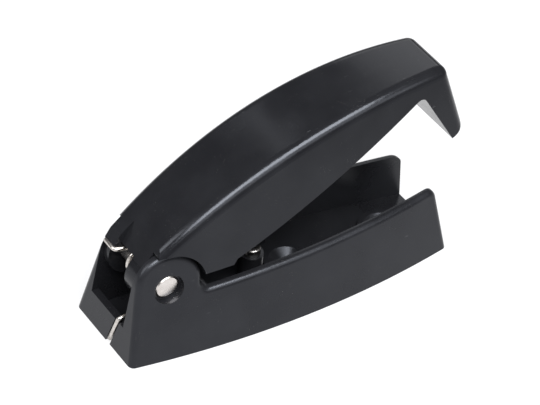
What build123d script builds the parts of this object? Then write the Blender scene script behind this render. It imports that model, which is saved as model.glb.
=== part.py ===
"""Compartment door catch: a channel base that screws to a wall, and a sprung hook arm.

Millimetres, +Z up from the mounting face, +X towards the hook, Y across.
The origin is midway between the two mounting screws, on the mounting face.
The shapes are drawn about the pivot, at x = 0, and moved to the origin when written.
"""

import os
from math import atan, cos, degrees, hypot, radians, sin, sqrt

from build123d import *

# Base channel
BASE_LENGTH = 83.0
REAR_HALF_WIDTH = 11.2
FRONT_HALF_WIDTH = 9.9
SIDE_BULGE = 3.7
BASE_DRAFT = 0.195
REAR_LEAN = 0.129
FRONT_LEAN = 0.234
WALL_TOP_FRONT = 16.4
WALL_TOP_SLOPE = 0.032
FRONT_CORNER_ROUND = 2.8
FLOOR = 2.4
BASE_WALL = 1.6
BASE_ROUND = 1.4
END_OVERHANG = 6.0
CHANNEL_START = 9.6
LEDGE_HEIGHT = 7.0
LEDGE_DEPTH = 2.6
GROOVE_WIDTH = 1.6
GROOVE_DEPTH = 1.2

# Pivot and ears
PIVOT_HEIGHT = 17.0
EAR_RADIUS = 7.4
EAR_X = 0.4
EAR_Z = 17.4
NEAR_EAR_INSIDE = -5.75
FAR_EAR_INSIDE = 7.25
EAR_FOOT_ROUND = 1.8

# Hook arm
CROWN_RADIUS = 103.3
CROWN_X = 64.1
CROWN_TOP = 50.1
CROWN_WALL = 1.8
CROWN_ROUND = 2.5
ARM_DRAFT = 0.1
ARM_STATIONS = ((-14.0, 9.05), (33.0, 13.8), (84.0, 9.85))
ARM_WALL = 1.5
SHOULDER_X = -2.2
HUB_RADIUS = 6.1
EAR_GAP = 0.35
SIDE_GAP = 0.15
NEAR_HUB_FACE = -1.4
FAR_HUB_FACE = 5.2
LIP_X = -6.1
LIP_NEAR_Y = 3.5
TONGUE_SLOPE = 60.0
LIP_UNDERSIDE = 21.3
SKIRT_LINE = ((8.0, 18.9), (14.6, 19.3), (15.4, 20.6), (20.4, 23.0))
SKIRT_SAG = (40.0, 33.3)

# Hook
HOOK_FRONT_X = 67.9
HOOK_NOSE = (73.8, 34.9)
HOOK_CHIN = (73.3, 32.7)
HOOK_TIP = (71.0, 31.2)
HOOK_ROOT = (61.3, 45.5)
HOOK_ROOT_ROUND = 1.7
HOOK_SET_BACK = 1.0
BROW_ROUND = 2.6

# Pivot pin
PIN_RADIUS = 2.85
PIN_HALF_LENGTH = 8.4
PIN_CHAMFER = 0.45
PIN_RECESS_RADIUS = 3.4
RUNNING_CLEARANCE = 0.07
PRESS_CLEARANCE = 0.01

# Torsion spring
WIRE_RADIUS = 0.55
COIL_RADIUS = 3.5
COIL_FAR_Y = 2.5
COIL_NEAR_Y = -0.45
COIL_DEGREES = 850.0
ARM_LEG_BACK = 6.2
ARM_LEG_ACROSS = 3.9
DROP_HEIGHT = 10.0
BASE_LEG_Y = -3.4
LEG_END_Y = -1.7
LEG_END_HEIGHT = 0.7
LEG_BEND = 1.1
LEG_STEP = 2.2
WIRE_SINK = 0.13

# Stop post, its screw and the rib that lands on it
STOP_X = 27.0
STOP_POST_RADIUS = 2.7
STOP_POST_TOP = 9.4
STOP_HEAD_RADIUS = 2.0
STOP_HEAD_HEIGHT = 1.8
STOP_HEAD_ROUND = 0.6
STOP_SHANK_RADIUS = 1.5
STOP_SHANK_LENGTH = 7.0
STOP_SLOT_WIDTH = 0.7
STOP_SLOT_DEPTH = 0.8
STOP_GAP = 0.3
RIB_HALF_WIDTH = 0.9
RIB_HALF_LENGTH = 2.6

# Mounting screws
SCREW_X = (37.1, 62.5)
SCREW_HOLE_RADIUS = 2.2
SCREW_SINK_RADIUS = 4.3
SCREW_PAD_RADIUS = 5.5
SCREW_PAD_TOP = 3.2

# Larger than the whole catch, for cuts that go right through
WIDE = 60.0
# Edges further out than this belong to a side, and edges within reach of a point are at it
SIDE_Y = 6.0
NEARBY = 1.0

REAR_X = EAR_X - REAR_LEAN * EAR_Z - EAR_RADIUS * hypot(1, REAR_LEAN)
FRONT_X = REAR_X + BASE_LENGTH
CLEAR_RADIUS = EAR_RADIUS + hypot(EAR_X, EAR_Z - PIVOT_HEIGHT) + EAR_GAP
MOUNT_X = sum(SCREW_X) / len(SCREW_X)


def base_half_width(x):
    """Half width of the base at the mounting face, bulged between its two ends."""
    s = (x - REAR_X) / BASE_LENGTH
    return REAR_HALF_WIDTH * (1 - s) + FRONT_HALF_WIDTH * s + 4 * SIDE_BULGE * s * (1 - s)


def crown_height(x, wall=0.0):
    """Height of the arm's crown at x, or of its underside when a wall is given."""
    centre = CROWN_TOP - CROWN_RADIUS
    return centre + sqrt((CROWN_RADIUS - wall) ** 2 - (x - CROWN_X) ** 2)


def side_face(*edges, corner=None, radius=0.0):
    """A face in the XZ plane from edges drawn as (x, z), rounded at one corner if given."""
    face = make_face(Curve() + list(edges))
    if corner:
        face = fillet(face.vertices().sort_by_distance(corner)[0], radius)
    return Rot(90, 0, 0) * face


def disc(radius, x=0.0, z=PIVOT_HEIGHT):
    """A disc in the XZ plane, about the pivot unless placed elsewhere."""
    return Rot(90, 0, 0) * (Pos(x, z) * Circle(radius))


def across(face, low=-WIDE / 2, high=WIDE / 2):
    """An XZ face made solid from y = low to y = high."""
    return extrude(Pos(0, low, 0) * face, high - low, dir=(0, 1, 0))


def upright(radius, low, high, x=0.0):
    """An upright cylinder on the middle plane, from z = low to z = high."""
    return Pos(x, 0, (low + high) / 2) * Cylinder(radius, high - low)


def bullet(stations, draft, height, inset=0.0):
    """Upright body with bulged sides through three (x, half width) stations, narrower higher up."""
    near = [(x, inset - half) for x, half in stations]
    far = [(x, half - inset) for x, half in reversed(stations)]
    outline = [
        ThreePointArc(*near),
        Line(near[-1], far[0]),
        ThreePointArc(*far),
        Line(far[-1], near[0]),
    ]
    face = make_face(Curve() + outline)
    return extrude(face, height, taper=degrees(atan(draft)))


def base_stations():
    """Stations a little past both ends, so that the end faces are cut by their own planes."""
    places = (REAR_X - END_OVERHANG, REAR_X + BASE_LENGTH / 2, FRONT_X + END_OVERHANG)
    return [(x, base_half_width(x)) for x in places]


def base_outline():
    """Side view of the base: leaning ends, sloping wall top and the round ear."""
    top_x = FRONT_X - FRONT_LEAN * WALL_TOP_FRONT
    wall_top_x = EAR_X + EAR_RADIUS
    wall_top_z = WALL_TOP_FRONT - WALL_TOP_SLOPE * (top_x - wall_top_x)
    lean = hypot(1, REAR_LEAN)
    tangent = (EAR_X - EAR_RADIUS / lean, EAR_Z + EAR_RADIUS * REAR_LEAN / lean)
    points = [
        (REAR_X, 0),
        (FRONT_X, 0),
        (top_x, WALL_TOP_FRONT),
        (wall_top_x - EAR_FOOT_ROUND, wall_top_z),
        (EAR_X, EAR_Z),
        tangent,
    ]
    wall = make_face(Polyline(*points, close=True))
    wall = fillet(wall.vertices().group_by(Axis.X)[-2].sort_by(Axis.Y)[-1], FRONT_CORNER_ROUND)
    outline = wall + Pos(EAR_X, EAR_Z) * Circle(EAR_RADIUS)
    foot = outline.vertices().sort_by_distance((wall_top_x, wall_top_z))[0]
    return Rot(90, 0, 0) * fillet(foot, EAR_FOOT_ROUND)


def screw_seat(x):
    """One countersunk mounting hole, as a solid to take away."""
    sink = SCREW_SINK_RADIUS - SCREW_HOLE_RADIUS
    cone = Cone(SCREW_HOLE_RADIUS, SCREW_SINK_RADIUS, sink)
    return upright(SCREW_HOLE_RADIUS, 0, SCREW_PAD_TOP, x) + Pos(x, 0, SCREW_PAD_TOP - sink / 2) * cone


def spring_groove():
    """The slanted groove down the rear face that keeps the spring's lower leg in place."""
    length = hypot(BASE_LEG_Y - LEG_END_Y, LEDGE_HEIGHT)
    slant = degrees(atan((LEG_END_Y - BASE_LEG_Y) / LEDGE_HEIGHT))
    lean = degrees(atan(REAR_LEAN))
    groove = Box(2 * GROOVE_DEPTH, GROOVE_WIDTH, 2 * length)
    middle = (REAR_X + REAR_LEAN * LEDGE_HEIGHT / 2, (BASE_LEG_Y + LEG_END_Y) / 2, LEDGE_HEIGHT / 2)
    return Pos(*middle) * Rot(0, lean, 0) * Rot(slant, 0, 0) * groove


def pin_holes():
    """The pin's press-fit bore and the wider recesses at its ends, as a solid to take away."""
    recess = disc(PIN_RECESS_RADIUS)
    ends = across(recess, high=-PIN_HALF_LENGTH) + across(recess, low=PIN_HALF_LENGTH)
    return ends + across(disc(PIN_RADIUS + PRESS_CLEARANCE))


def ear_bay():
    """The room between the ears, open at the rear above the spring's ledge."""
    middle = (FAR_EAR_INSIDE + NEAR_EAR_INSIDE) / 2
    room = Box(WIDE / 2, FAR_EAR_INSIDE - NEAR_EAR_INSIDE, WIDE)
    well = Pos(REAR_X + LEDGE_DEPTH + WIDE / 4, middle, FLOOR + WIDE / 2) * room
    return well + Pos(REAR_X, middle, LEDGE_HEIGHT + WIDE / 2) * room


def base_block():
    """The solid outside shape of the base, with its upright and top edges rounded."""
    block = bullet(base_stations(), BASE_DRAFT, WIDE / 2) & across(base_outline())
    side = [e for e in block.edges() if abs(e.center().Y) > SIDE_Y]
    return fillet([e for e in side if e.center().Z > BASE_ROUND], BASE_ROUND)


def catch_base():
    """Channel base with its ears, screw seats, stop post, spring ledge and pin holes."""
    inside = bullet(base_stations(), BASE_DRAFT, WIDE / 2, BASE_WALL)
    front = Pos(CHANNEL_START + WIDE, 0, FLOOR + WIDE / 2) * Box(2 * WIDE, WIDE, WIDE)
    body = base_block() - (inside & front) - ear_bay()
    for x in SCREW_X:
        body += upright(SCREW_PAD_RADIUS, 0, SCREW_PAD_TOP, x)
        body -= screw_seat(x)
    body += upright(STOP_POST_RADIUS, 0, STOP_POST_TOP, STOP_X)
    thread_foot = STOP_POST_TOP - STOP_SHANK_LENGTH
    body -= upright(STOP_SHANK_RADIUS + PRESS_CLEARANCE, thread_foot, STOP_POST_TOP, STOP_X)
    return body - spring_groove() - pin_holes()


def arm_outline():
    """Side view of the arm: round crown, beak of the hook, skirt line, hub and rear lip."""
    crown_end = (HOOK_FRONT_X, crown_height(HOOK_FRONT_X))
    crown_start = (LIP_X, crown_height(LIP_X))
    crown_middle = (CROWN_X / 2, crown_height(CROWN_X / 2))
    lip = [(0, PIVOT_HEIGHT), (LIP_X / 2, LIP_UNDERSIDE), (LIP_X, LIP_UNDERSIDE)]
    outline = side_face(
        ThreePointArc(crown_start, crown_middle, crown_end),
        Line(crown_end, HOOK_NOSE),
        ThreePointArc(HOOK_NOSE, HOOK_CHIN, HOOK_TIP),
        Line(HOOK_TIP, HOOK_ROOT),
        ThreePointArc(HOOK_ROOT, SKIRT_SAG, SKIRT_LINE[-1]),
        Polyline(*SKIRT_LINE[::-1], *lip, crown_start),
        corner=HOOK_ROOT,
        radius=HOOK_ROOT_ROUND,
    )
    return outline + disc(HUB_RADIUS)


def is_hook_side(edge):
    """Whether an edge is where the hook's outer face meets the arm's side."""
    middle = edge.center()
    off_axis = abs(middle.Y) > SIDE_Y
    return off_axis and HOOK_FRONT_X < middle.X < HOOK_NOSE[0] and middle.Z > HOOK_NOSE[1]


def is_brow(edge):
    """Whether an edge is the one across the arm where the crown turns down into the hook."""
    middle = edge.center()
    at_front = abs(middle.X - HOOK_FRONT_X) < NEARBY
    return at_front and abs(middle.Y) < NEARBY and middle.Z > HOOK_ROOT[1]


def is_brow_end(edge):
    """Whether an edge is the short arc at either end of the rounded brow."""
    middle = edge.center()
    is_short = edge.length < 2 * BROW_ROUND
    return is_short and abs(middle.Y) > SIDE_Y and middle.Z > HOOK_ROOT[1]


def arm_shell():
    """The solid full-width arm with its brow, crown edges and hook sides rounded."""
    sharp = bullet(ARM_STATIONS, ARM_DRAFT, WIDE) & across(arm_outline())
    shell = fillet([e for e in sharp.edges() if is_brow(e)], BROW_ROUND)
    long_edges = [e for e in shell.edges() if e.length > CROWN_X]
    brow_ends = [e for e in shell.edges() if is_brow_end(e)]
    hook_edges = [e for e in shell.edges() if is_hook_side(e)]
    return fillet(long_edges + brow_ends + hook_edges, CROWN_ROUND)


def hollow_profile():
    """Side view of the space under the crown, from behind the lip to the root of the hook."""
    root_x, root_z = HOOK_ROOT
    slope = (HOOK_TIP[0] - root_x) / (root_z - HOOK_TIP[1])
    front = (root_x - HOOK_SET_BACK, root_z)
    top_z = crown_height(root_x - ARM_WALL, CROWN_WALL)
    front_top = (front[0] - slope * (top_z - root_z), top_z)
    rear_x = LIP_X - ARM_WALL
    rear_top = (rear_x, crown_height(rear_x, CROWN_WALL))
    middle_top = (CROWN_X / 2, crown_height(CROWN_X / 2, CROWN_WALL))
    ceiling = ThreePointArc(rear_top, middle_top, front_top)
    return side_face(ceiling, Polyline(front_top, front, (front[0], 0), (rear_x, 0), rear_top))


def hollow():
    """The space to take out of the arm: the skirt's inside, and the slot for the coil."""
    inside = bullet(ARM_STATIONS, ARM_DRAFT, WIDE, ARM_WALL) & across(hollow_profile())
    hubs = disc(CLEAR_RADIUS + ARM_WALL)
    inside -= across(hubs, -WIDE, NEAR_HUB_FACE)
    return inside - across(hubs, FAR_HUB_FACE, WIDE)


def behind_slope(foot):
    """Side view of all that lies behind the tongue's sloping rear face, from its foot up."""
    slope = radians(TONGUE_SLOPE)
    top = (foot[0] + WIDE * cos(slope), foot[1] + WIDE * sin(slope))
    return side_face(Polyline(foot, top, (-WIDE, top[1]), (-WIDE, foot[1]), foot))


def tongue_room():
    """What is cut from the tongue's rear: down to the hub beside the lip, and behind the lip."""
    slope = radians(TONGUE_SLOPE)
    hub_foot = (-HUB_RADIUS * sin(slope), PIVOT_HEIGHT + HUB_RADIUS * cos(slope))
    beside = behind_slope(hub_foot) - disc(HUB_RADIUS)
    behind = behind_slope((LIP_X, LIP_UNDERSIDE))
    return across(beside, -WIDE, LIP_NEAR_Y) + across(behind, -WIDE, WIDE)


def ear_room():
    """The space the base's ears need on both sides of the arm's tongue, and behind it."""
    near = NEAR_EAR_INSIDE + SIDE_GAP
    far = FAR_EAR_INSIDE - SIDE_GAP
    behind = Pos(SHOULDER_X - WIDE / 2, 0, 0) * Box(WIDE, 2 * WIDE, 2 * WIDE)
    ears = across(disc(CLEAR_RADIUS), -WIDE, WIDE) + behind
    return ears - across(disc(WIDE), near, far)


def hook_arm():
    """Hook arm: crowned shell, hook, two hub plates on the pin and the rib for the stop."""
    arm = arm_shell() - ear_room() - tongue_room() - hollow()
    rib_top = crown_height(STOP_X - RIB_HALF_LENGTH, CROWN_WALL / 2)
    rib_foot = STOP_POST_TOP + STOP_HEAD_HEIGHT + STOP_GAP
    rib = Box(2 * RIB_HALF_LENGTH, 2 * RIB_HALF_WIDTH, rib_top - rib_foot)
    arm += Pos(STOP_X, 0, (rib_top + rib_foot) / 2) * rib
    return arm - across(disc(PIN_RADIUS + RUNNING_CLEARANCE))


def pivot_pin():
    """Plain steel pin, chamfered at both ends, sunk a little into each ear."""
    pin = across(disc(PIN_RADIUS), -PIN_HALF_LENGTH, PIN_HALF_LENGTH)
    return chamfer(pin.edges().filter_by(GeomType.CIRCLE), PIN_CHAMFER)


def wire_along(path):
    """Round spring wire along a path."""
    return sweep(Plane(path @ 0, z_dir=path % 0) * Circle(WIRE_RADIUS), path)


def torsion_spring():
    """Coil round the pin, a leg hooked under the arm's lip and a leg down the base's groove."""
    turns = COIL_DEGREES / 360
    width = COIL_FAR_Y - COIL_NEAR_Y
    helix = Helix(width / turns, width, COIL_RADIUS, lefthand=True)
    coil_path = Pos(0, COIL_FAR_Y, PIVOT_HEIGHT) * Rot(0, -90, 0) * Rot(90, 0, 0) * helix
    start, end = coil_path @ 0, coil_path @ 1
    back, onward = -(coil_path % 0), coil_path % 1
    heel = start + back * ARM_LEG_BACK
    arm_leg = FilletPolyline(start, heel, heel + Vector(0, ARM_LEG_ACROSS, 0), radius=LEG_BEND)
    drop = end + onward * ((end.Z - DROP_HEIGHT) / -onward.Z)
    seat_z = LEDGE_HEIGHT + WIRE_RADIUS
    inset = WIRE_RADIUS - WIRE_SINK
    edge_x = REAR_X + REAR_LEAN * seat_z + inset
    end_x = REAR_X + REAR_LEAN * LEG_END_HEIGHT + inset
    points = [
        end,
        drop,
        (drop.X - LEG_STEP, BASE_LEG_Y, seat_z),
        (edge_x, BASE_LEG_Y, seat_z),
        (end_x, LEG_END_Y, LEG_END_HEIGHT),
    ]
    base_leg = FilletPolyline(*points, radius=LEG_BEND)
    return wire_along(coil_path) + wire_along(arm_leg) + wire_along(base_leg)


def stop_screw():
    """Slotted screw in the stop post; the arm's rib comes down on its head."""
    head = upright(STOP_HEAD_RADIUS, 0, STOP_HEAD_HEIGHT)
    head = fillet(head.edges().group_by(Axis.Z)[-1], STOP_HEAD_ROUND)
    slot = Box(WIDE, STOP_SLOT_WIDTH, STOP_SLOT_DEPTH)
    head -= Pos(0, 0, STOP_HEAD_HEIGHT - STOP_SLOT_DEPTH / 2) * slot
    shank = upright(STOP_SHANK_RADIUS, -STOP_SHANK_LENGTH, 0)
    return Pos(STOP_X, 0, STOP_POST_TOP) * (head + shank)


PIECES = {
    "catch_base": catch_base,
    "hook_arm": hook_arm,
    "pivot_pin": pivot_pin,
    "torsion_spring": torsion_spring,
    "stop_screw": stop_screw,
}

os.makedirs("parts", exist_ok=True)
for name, make in PIECES.items():
    export_step(Pos(-MOUNT_X, 0, 0) * make(), f"parts/{name}.step")
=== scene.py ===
"""Looks of the compartment door catch: black moulded plastic, bright steel pin and spring."""

from math import cos, pi, radians, sin

import bpy
from mathutils import Matrix, Vector


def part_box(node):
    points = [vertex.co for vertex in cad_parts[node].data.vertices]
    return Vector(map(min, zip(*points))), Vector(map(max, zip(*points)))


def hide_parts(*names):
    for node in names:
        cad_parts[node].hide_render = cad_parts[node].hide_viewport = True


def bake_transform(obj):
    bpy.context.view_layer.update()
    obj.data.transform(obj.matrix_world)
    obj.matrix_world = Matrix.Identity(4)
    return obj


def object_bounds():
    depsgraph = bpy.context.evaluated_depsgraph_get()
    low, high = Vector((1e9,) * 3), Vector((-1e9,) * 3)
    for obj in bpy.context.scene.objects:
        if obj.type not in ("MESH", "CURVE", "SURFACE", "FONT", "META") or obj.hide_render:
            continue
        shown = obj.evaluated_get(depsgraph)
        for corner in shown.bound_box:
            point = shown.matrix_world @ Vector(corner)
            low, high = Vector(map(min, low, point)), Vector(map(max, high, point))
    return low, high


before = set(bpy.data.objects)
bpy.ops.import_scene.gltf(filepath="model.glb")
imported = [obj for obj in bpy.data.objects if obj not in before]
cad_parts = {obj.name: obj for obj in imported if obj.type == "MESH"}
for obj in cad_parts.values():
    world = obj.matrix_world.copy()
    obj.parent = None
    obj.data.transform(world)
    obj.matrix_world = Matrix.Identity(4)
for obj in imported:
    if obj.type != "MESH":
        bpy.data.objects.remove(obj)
cad_low, cad_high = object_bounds()

MM = 0.001

# Camera, behind, beside and above the catch
AZIMUTH = radians(-37.607)
ELEVATION = radians(39.571)
ROLL = radians(6.938)
LENS = 168.9
SENSOR_WIDTH = 36.0
CLIP_START = 0.01
CLIP_END = 20
CAMERA_FROM_PIVOT = Vector((-223.217, -329.247, 348.476)) * MM

# Pivot, from the pin, and the base's lowest corner
PIN_LOW, PIN_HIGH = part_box("pivot_pin")
PIVOT = (PIN_LOW + PIN_HIGH) / 2
BASE_LOW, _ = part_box("catch_base")

# Torsion spring, about the pivot
WIRE_RADIUS = 0.55 * MM
COIL_RADIUS = 3.5 * MM
COIL_FAR_Y = 2.5 * MM
COIL_NEAR_Y = -0.45 * MM
COIL_TURNS = 850 / 360
ARM_LEG_BACK = 6.2 * MM
ARM_LEG_ACROSS = 3.9 * MM
DROP_HEIGHT = 10.0 * MM
LEDGE_HEIGHT = 7.0 * MM
BASE_LEG_Y = -3.4 * MM
LEG_END_Y = -1.7 * MM
LEG_END_HEIGHT = 0.7 * MM
REAR_LEAN = 0.129
WIRE_SINK = 0.129 * MM
LEG_BEND = 1.1 * MM
LEG_STEP = 2 * LEG_BEND

# Fineness of the wire's mesh, its end chamfer as a share of its radius, and radii per unit of U
BEND_STEPS = 8
COIL_STEPS = 48
WIRE_SIDES = 20
END_CHAMFER = 0.3
RADII_PER_U = 10

# Black plastic: sizes across, depths and strengths of its marks
PLASTIC_TINT = (0.86, 0.90, 1.0, 1)
CLOUD_SIZE = 9 * MM
GRAIN_SIZE = 0.16 * MM
GRAIN_DEPTH = 0.004 * MM
RIPPLE_SIZE = 2.6 * MM
RIPPLE_DEPTH = 0.03 * MM
SCRATCH_SIZE = 0.5 * MM
SCRATCH_DEPTH = 0.006 * MM
SCRATCH_COLOUR = (0.25, 0.25, 0.26, 1)
SCRATCH_SHOWS = 0.09
SCRATCH_DULLS = 0.06
DUST_SPACING = 1.7 * MM
DUST_PATCH = 5 * MM
DUST_COLOUR = (0.42, 0.41, 0.39, 1)
DUST_SHOWS = 0.65
DUST_DULLS = 0.3

# Steel
PLATING_SIZE = 1.3 * MM
PLATING_DEPTH = 0.02 * MM
SPOT_SIZE = 0.35 * MM
SPOT_COLOUR = (0.22, 0.19, 0.16, 1)
SPOT_SHOWS = 0.5
RING_SPACING = 0.16 * MM
RING_DEPTH = 0.002 * MM
WIRE_BRIGHT = (0.66, 0.625, 0.585, 1)
WIRE_DULL = (0.44, 0.41, 0.38, 1)
WIRE_LINE_DEPTH = 0.006 * MM

# Table: dark grey, and white by a painted glow, a painted pool of light that fades along one direction
# between two distances
FLOOR_SIZE = 3.0
FLOOR_DROP = 0.05 * MM
FLOOR_COLOUR = (0.12, 0.12, 0.125, 1)
FLOOR_ROUGHNESS = 0.9
GLOW_COLOUR = (1.0, 1.0, 1.0, 1)
GLOW_FADES_TOWARD = (0.6, -0.8, 0.0)
GLOW_INSIDE = 46 * MM
GLOW_OUTSIDE = 104 * MM
GLOW_NEAR = 0.8
GLOW_FAR = 0.2

# Studio light
WORLD_GREY = 0.19
WORLD_BLUE = 1.05
COOL_WHITE = (0.98, 0.99, 1.0)
SOFTBOXES = {
    "overhead_softbox": dict(
        toward=(-0.13, -0.47, 0.87), distance=0.6, width=0.66, height=0.26, power=11.2, colour=COOL_WHITE
    ),
    "front_softbox": dict(
        toward=(0.08, -0.80, 0.59), distance=0.6, width=0.8, height=0.24, power=1.9, colour=COOL_WHITE
    ),
    "rear_softbox": dict(toward=(0.56, 0.66, 0.52), distance=0.8, width=0.36, height=0.30, power=0.58),
    "rear_strip": dict(toward=(-0.06, 0.61, 0.79), distance=0.8, width=0.045, height=0.4, power=0.11),
    "left_softbox": dict(toward=(-0.80, 0.10, 0.55), distance=0.6, width=0.3, height=0.3, power=1.9),
}


def add_object(name, data):
    """An object that shows a mesh, a light or a camera."""
    item = bpy.data.objects.new(name, data)
    bpy.context.scene.collection.objects.link(item)
    return item


def stand(item, place, x_axis, y_axis, z_axis):
    """Puts an object at a place, with its own axes along the three given ones."""
    turn = Matrix((x_axis, y_axis, z_axis)).transposed().to_4x4()
    item.matrix_world = Matrix.Translation(place) @ turn


def add_camera():
    """Camera that looks down along the catch, rolled a little."""
    back = Vector((sin(AZIMUTH) * cos(ELEVATION), -cos(AZIMUTH) * cos(ELEVATION), sin(ELEVATION)))
    right = Vector((0, 0, 1)).cross(back).normalized()
    up = back.cross(right)
    across = right * cos(ROLL) + up * sin(ROLL)
    upward = up * cos(ROLL) - right * sin(ROLL)
    data = bpy.data.cameras.new("camera")
    data.lens = LENS
    data.sensor_width = SENSOR_WIDTH
    data.clip_start = CLIP_START
    data.clip_end = CLIP_END
    camera = add_object("camera", data)
    stand(camera, PIVOT + CAMERA_FROM_PIVOT, across, upward, back)
    bpy.context.scene.camera = camera


class Shader:
    """A material's node tree, with short calls for adding and joining nodes."""

    def __init__(self, name):
        self.material = bpy.data.materials.new(name)
        self.material.use_nodes = True
        self.tree = self.material.node_tree
        self.surface = self.tree.nodes["Principled BSDF"]
        self.place = self.add("ShaderNodeTexCoord").outputs["Object"]

    def add(self, kind, **settings):
        """A new node with its settings."""
        node = self.tree.nodes.new(kind)
        for key, value in settings.items():
            setattr(node, key, value)
        return node

    def join(self, source, target):
        """Links a socket to a target, or sets a constant on it."""
        if hasattr(source, "is_linked"):
            self.tree.links.new(source, target)
        else:
            target.default_value = source

    def set(self, **values):
        """Constants of the surface, named with _ for each space."""
        for key, value in values.items():
            self.surface.inputs[key.replace("_", " ")].default_value = value

    def math(self, operation, *terms):
        """One sum on sockets or numbers."""
        node = self.add("ShaderNodeMath", operation=operation)
        for term, socket in zip(terms, node.inputs):
            self.join(term, socket)
        return node.outputs[0]

    def scaled(self, place, scale):
        """Coordinates times a scale along each axis."""
        node = self.add("ShaderNodeMapping")
        self.join(place, node.inputs["Vector"])
        node.inputs["Scale"].default_value = scale
        return node.outputs[0]

    def noise(self, size, detail=3.0, place=None, stretch=(1, 1, 1)):
        """Noise whose blobs are about size metres across, 0 to 1."""
        node = self.add("ShaderNodeTexNoise")
        place = self.scaled(place or self.place, [s / size for s in stretch])
        self.join(place, node.inputs["Vector"])
        node.inputs["Scale"].default_value = 1
        node.inputs["Detail"].default_value = detail
        return node.outputs["Fac"]

    def band(self, value, low, high, out_low=0.0, out_high=1.0):
        """A value taken from the range low to high to the range out_low to out_high, and held there."""
        node = self.add("ShaderNodeMapRange", clamp=True)
        for term, socket in zip((value, low, high, out_low, out_high), node.inputs):
            self.join(term, socket)
        return node.outputs[0]

    def mix(self, share, first, second):
        """The first colour at share 0, the second at share 1."""
        node = self.add("ShaderNodeMix", data_type="RGBA")
        self.join(share, node.inputs["Factor"])
        colours = [socket for socket in node.inputs if socket.type == "RGBA"]
        self.join(first, colours[0])
        self.join(second, colours[1])
        return next(socket for socket in node.outputs if socket.type == "RGBA")

    def bump(self, height, distance, strength=1.0, normal=None):
        """A normal raised by a height of 0 to 1, on top of another normal if there is one."""
        node = self.add("ShaderNodeBump")
        node.inputs["Distance"].default_value = distance
        node.inputs["Strength"].default_value = strength
        self.join(height, node.inputs["Height"])
        if normal is not None:
            self.join(normal, node.inputs["Normal"])
        return node.outputs[0]

    def finish(self, colour, roughness, normal):
        """The material, with what was made joined to its surface."""
        self.join(colour, self.surface.inputs["Base Color"])
        self.join(roughness, self.surface.inputs["Roughness"])
        self.join(normal, self.surface.inputs["Normal"])
        return self.material


def moulded_plastic(name, dark, grey, smooth, rough, index):
    """Black moulded plastic: fine grain, faint ripples, uneven gloss, hairline scratches and dust."""
    shader = Shader(name)
    shader.set(IOR=index, Specular_Tint=PLASTIC_TINT)
    cloud = shader.noise(CLOUD_SIZE, detail=4)
    grain = shader.noise(GRAIN_SIZE, detail=2)
    ripple = shader.noise(RIPPLE_SIZE, detail=2)
    hairs = shader.noise(SCRATCH_SIZE, detail=2, stretch=(0.08, 1.0, 0.5))
    cross_hairs = shader.noise(SCRATCH_SIZE, detail=2, stretch=(1.0, 0.1, 0.6))
    scratch = shader.math(
        "ADD",
        shader.band(hairs, low=0.76, high=0.80),
        shader.band(cross_hairs, low=0.77, high=0.81),
    )
    specks = shader.add("ShaderNodeTexVoronoi")
    shader.join(shader.scaled(shader.place, (1 / DUST_SPACING,) * 3), specks.inputs["Vector"])
    dust = shader.band(specks.outputs["Distance"], low=0.05, high=0.08, out_low=1.0, out_high=0.0)
    patch = shader.band(shader.noise(DUST_PATCH, detail=3), low=0.55, high=0.62)
    dust = shader.math("MULTIPLY", dust, patch)
    normal = shader.bump(grain, GRAIN_DEPTH, strength=0.6)
    normal = shader.bump(ripple, RIPPLE_DEPTH, strength=0.25, normal=normal)
    normal = shader.bump(scratch, -SCRATCH_DEPTH, strength=0.5, normal=normal)
    tone = shader.mix(shader.band(cloud, low=0.35, high=0.7), dark, grey)
    tone = shader.mix(shader.math("MULTIPLY", scratch, SCRATCH_SHOWS), tone, SCRATCH_COLOUR)
    tone = shader.mix(shader.math("MULTIPLY", dust, DUST_SHOWS), tone, DUST_COLOUR)
    gloss = shader.band(cloud, low=0.3, high=0.75, out_low=smooth, out_high=rough)
    gloss = shader.math("ADD", gloss, shader.math("MULTIPLY", dust, DUST_DULLS))
    gloss = shader.math("ADD", gloss, shader.math("MULTIPLY", scratch, SCRATCH_DULLS))
    return shader.finish(tone, gloss, normal)


def turned_steel(name, bright, warm, smooth, rough):
    """Turned and plated steel: rings about the pin's axis, blotchy plating and small dark spots."""
    shader = Shader(name)
    shader.set(Metallic=1.0)
    cloud = shader.noise(PLATING_SIZE, detail=4)
    spot = shader.noise(SPOT_SIZE, detail=2)
    split = shader.add("ShaderNodeSeparateXYZ")
    shader.join(shader.place, split.inputs[0])
    dx = shader.math("SUBTRACT", split.outputs[0], PIVOT.x)
    dz = shader.math("SUBTRACT", split.outputs[2], PIVOT.z)
    squares = [shader.math("MULTIPLY", d, d) for d in (dx, dz)]
    reach = shader.math("SQRT", shader.math("ADD", *squares))
    rings = shader.math("SINE", shader.math("MULTIPLY", reach, 2 * pi / RING_SPACING))
    normal = shader.bump(rings, RING_DEPTH, strength=0.4)
    normal = shader.bump(cloud, PLATING_DEPTH, strength=0.4, normal=normal)
    tone = shader.mix(shader.band(cloud, low=0.35, high=0.65), bright, warm)
    spots = shader.band(spot, low=0.66, high=0.72, out_low=0.0, out_high=SPOT_SHOWS)
    tone = shader.mix(spots, tone, SPOT_COLOUR)
    gloss = shader.band(cloud, low=0.3, high=0.7, out_low=smooth, out_high=rough)
    return shader.finish(tone, gloss, normal)


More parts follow.
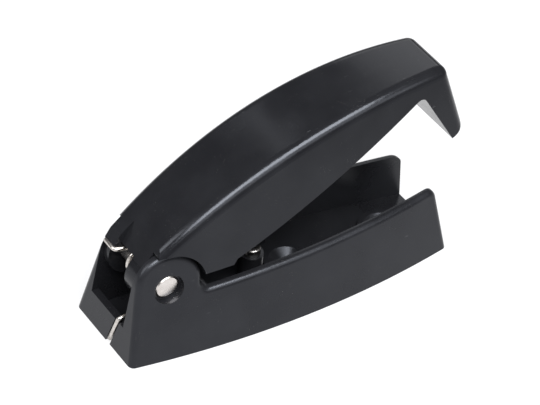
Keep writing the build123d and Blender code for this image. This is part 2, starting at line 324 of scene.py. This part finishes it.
def drawn_wire(name):
    """Bright drawn spring wire, with fine lines along it and a little darkening."""
    shader = Shader(name)
    shader.set(Metallic=1.0)
    along = shader.add("ShaderNodeTexCoord").outputs["UV"]
    lines = shader.noise(1.0, detail=3, place=along, stretch=(3.0, 40.0, 1.0))
    cloud = shader.noise(1.0, detail=4, place=along, stretch=(9.0, 3.0, 1.0))
    normal = shader.bump(lines, WIRE_LINE_DEPTH, strength=0.5)
    tone = shader.mix(shader.band(cloud, low=0.35, high=0.7), WIRE_BRIGHT, WIRE_DULL)
    gloss = shader.band(lines, low=0.3, high=0.7, out_low=0.16, out_high=0.34)
    return shader.finish(tone, gloss, normal)


def coil_points():
    """Centreline of the coil, from the arm leg's side to the base leg's side, left-handed."""
    steps = int(COIL_TURNS * COIL_STEPS)
    points = []
    for step in range(steps + 1):
        share = step / steps
        angle = pi / 2 - 2 * pi * COIL_TURNS * share
        y = COIL_FAR_Y + (COIL_NEAR_Y - COIL_FAR_Y) * share
        points.append(Vector((COIL_RADIUS * cos(angle), y, COIL_RADIUS * sin(angle))))
    return points


def rounded(corners, radius):
    """A polyline with its inner corners turned into smooth bends."""
    points = [corners[0]]
    for before, corner, after in zip(corners, corners[1:], corners[2:]):
        back, onward = before - corner, after - corner
        room = min(back.length, onward.length) / 2
        back.normalize()
        onward.normalize()
        half = back.angle(onward) / 2
        reach = min(radius * cos(half) / sin(half), room)
        start, end = corner + back * reach, corner + onward * reach
        for step in range(BEND_STEPS + 1):
            t = step / BEND_STEPS
            points.append(start * (1 - t) ** 2 + corner * 2 * t * (1 - t) + end * t * t)
    return points + [corners[-1]]


def spring_route():
    """Arm leg, coil and base leg as one line, in the row frame."""
    coil = coil_points()
    back = (coil[0] - coil[1]).normalized()
    onward = (coil[-1] - coil[-2]).normalized()
    heel = coil[0] + back * ARM_LEG_BACK
    arm_leg = rounded([coil[0], heel, heel + Vector((0, ARM_LEG_ACROSS, 0))], LEG_BEND)
    drop = coil[-1] + onward * ((coil[-1].z + PIVOT.z - DROP_HEIGHT) / -onward.z)
    seat_z = LEDGE_HEIGHT + WIRE_RADIUS
    foot_x = BASE_LOW.x - PIVOT.x + WIRE_RADIUS - WIRE_SINK
    edge = Vector((foot_x + REAR_LEAN * seat_z, BASE_LEG_Y, seat_z - PIVOT.z))
    end = Vector((foot_x + REAR_LEAN * LEG_END_HEIGHT, LEG_END_Y, LEG_END_HEIGHT - PIVOT.z))
    knee = Vector((drop.x - LEG_STEP, BASE_LEG_Y, seat_z - PIVOT.z))
    base_leg = rounded([coil[-1], drop, knee, edge, end], LEG_BEND)
    return [PIVOT + p for p in arm_leg[::-1] + coil[1:-1] + base_leg]


def wire_stations(route, radius):
    """Centre, radius and direction of each ring of the wire, with a chamfer at both ends."""
    tangents = [(b - a).normalized() for a, b in zip(route, route[1:])]
    tangents.append(tangents[-1])
    chamfer = radius * END_CHAMFER
    rings = [(route[0], radius - chamfer), (route[0] + tangents[0] * chamfer, radius)]
    rings += [(p, radius) for p in route[1:-1]]
    rings += [(route[-1] - tangents[-1] * chamfer, radius), (route[-1], radius - chamfer)]
    directions = [tangents[0]] + tangents + [tangents[-1]]
    return [(centre, reach, tangent) for (centre, reach), tangent in zip(rings, directions)]


def wire_rings(stations):
    """Vertices of the rings, kept from twisting, and the length along the wire at each ring."""
    before, _, tangent = stations[0]
    side = tangent.orthogonal().normalized()
    vertices, lengths, walked = [], [], 0.0
    for centre, reach, tangent in stations:
        side = (side - tangent * side.dot(tangent)).normalized()
        other = tangent.cross(side)
        walked += (centre - before).length
        before = centre
        lengths.append(walked)
        for k in range(WIRE_SIDES):
            turn = 2 * pi * k / WIRE_SIDES
            vertices.append(centre + (side * cos(turn) + other * sin(turn)) * reach)
    return vertices, lengths


def wire_faces(rings):
    """Walls from ring to ring, and a cap at each end."""
    faces = [tuple(range(WIRE_SIDES))[::-1]]
    for ring in range(rings - 1):
        for k in range(WIRE_SIDES):
            a, b = ring * WIRE_SIDES + k, ring * WIRE_SIDES + (k + 1) % WIRE_SIDES
            faces.append((a, b, b + WIRE_SIDES, a + WIRE_SIDES))
    last = (rings - 1) * WIRE_SIDES
    faces.append(tuple(range(last, last + WIRE_SIDES)))
    return faces


def lay_uvs(mesh, lengths, radius):
    """U along the wire and V around it; walls shade smooth and caps flat."""
    layer = mesh.uv_layers.new(name="along")
    for polygon in mesh.polygons:
        wall = len(polygon.vertices) == 4
        polygon.use_smooth = wall
        for corner, loop in enumerate(polygon.loop_indices):
            ring, k = divmod(mesh.loops[loop].vertex_index, WIRE_SIDES)
            seam = wall and k == 0 and corner in (1, 2)
            around = WIRE_SIDES if seam else k
            layer.data[loop].uv = (lengths[ring] / (RADII_PER_U * radius), around / WIRE_SIDES)


def tube(name, route, radius, material):
    """Round wire swept along a route."""
    vertices, lengths = wire_rings(wire_stations(route, radius))
    mesh = bpy.data.meshes.new(name)
    mesh.from_pydata([tuple(v) for v in vertices], [], wire_faces(len(lengths)))
    lay_uvs(mesh, lengths, radius)
    mesh.materials.append(material)
    return add_object(name, mesh)


def add_spring(material):
    """The torsion spring as one swept wire in its rest shape, in place of the CAD spring, which is
    hidden.
    """
    spring = tube("spring_wire", spring_route(), WIRE_RADIUS, material)
    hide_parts("torsion_spring")
    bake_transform(spring)


def paint(node, material):
    """Gives a CAD node its material."""
    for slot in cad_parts[node].material_slots:
        slot.material = material


def add_floor():
    """A table, dark grey, white by a painted glow: a painted pool of light that fades past the hook's
    near side.
    """
    half = FLOOR_SIZE / 2
    z = cad_low.z - FLOOR_DROP
    corners = [(-half, -half, z), (half, -half, z), (half, half, z), (-half, half, z)]
    mesh = bpy.data.meshes.new("floor")
    mesh.from_pydata(corners, [], [(0, 1, 2, 3)])
    shader = Shader("floor_painted_light_pool")
    shader.set(Base_Color=FLOOR_COLOUR, Roughness=FLOOR_ROUGHNESS, Specular_IOR_Level=0.0)
    shader.set(Emission_Color=GLOW_COLOUR)
    # Painted pool of light: the glow fades along GLOW_FADES_TOWARD from GLOW_INSIDE to GLOW_OUTSIDE,
    # which darkens the part's reflections towards the hook.
    forward = shader.add("ShaderNodeVectorMath", operation="DOT_PRODUCT")
    shader.join(shader.place, forward.inputs[0])
    forward.inputs[1].default_value = GLOW_FADES_TOWARD
    glow = shader.band(forward.outputs["Value"], GLOW_INSIDE, GLOW_OUTSIDE, GLOW_NEAR, GLOW_FAR)
    shader.join(glow, shader.surface.inputs["Emission Strength"])
    mesh.materials.append(shader.material)
    floor = add_object("floor", mesh)


def add_softbox(name, toward, distance, width, height, power, colour=(1, 1, 1)):
    """A rectangular area light that faces the object from a direction."""
    data = bpy.data.lights.new(name, "AREA")
    data.shape = "RECTANGLE"
    data.size = width
    data.size_y = height
    data.energy = power
    data.color = colour
    direction = Vector(toward).normalized()
    along = Vector((1, 0, 0)) - direction * direction.x
    along.normalize()
    place = (cad_low + cad_high) / 2 + direction * distance
    stand(add_object(name, data), place, along, direction.cross(along), direction)


def add_world(grey):
    """Even, slightly blue grey light from all around."""
    world = bpy.data.worlds.new("studio")
    world.use_nodes = True
    background = world.node_tree.nodes["Background"]
    background.inputs["Color"].default_value = (grey, grey, grey * WORLD_BLUE, 1)
    bpy.context.scene.world = world


add_camera()
bpy.context.scene.view_settings.view_transform = "Standard"
add_world(WORLD_GREY)
add_floor()
for softbox, settings in SOFTBOXES.items():
    add_softbox(softbox, **settings)

# The base and the arm are one black plastic; the base's copy is painted lighter than the arm's, painted
# light that lifts the base's shaded faces.
base_plastic = moulded_plastic(
    "base_plastic",
    dark=(0.0066, 0.0067, 0.0077, 1),
    grey=(0.0092, 0.0094, 0.0107, 1),
    smooth=0.24,
    rough=0.36,
    index=1.34,
)
arm_plastic = moulded_plastic(
    "arm_plastic",
    dark=(0.0056, 0.0057, 0.0066, 1),
    grey=(0.0079, 0.0081, 0.0092, 1),
    smooth=0.15,
    rough=0.24,
    index=1.32,
)
pin_steel = turned_steel(
    "pin_steel",
    bright=(0.70, 0.665, 0.635, 1),
    warm=(0.62, 0.58, 0.545, 1),
    smooth=0.20,
    rough=0.30,
)
screw_steel = turned_steel(
    "screw_steel",
    bright=(0.42, 0.40, 0.38, 1),
    warm=(0.26, 0.25, 0.24, 1),
    smooth=0.22,
    rough=0.36,
)
paint("catch_base", base_plastic)
paint("hook_arm", arm_plastic)
paint("pivot_pin", pin_steel)
paint("stop_screw", screw_steel)
add_spring(drawn_wire("spring_steel"))
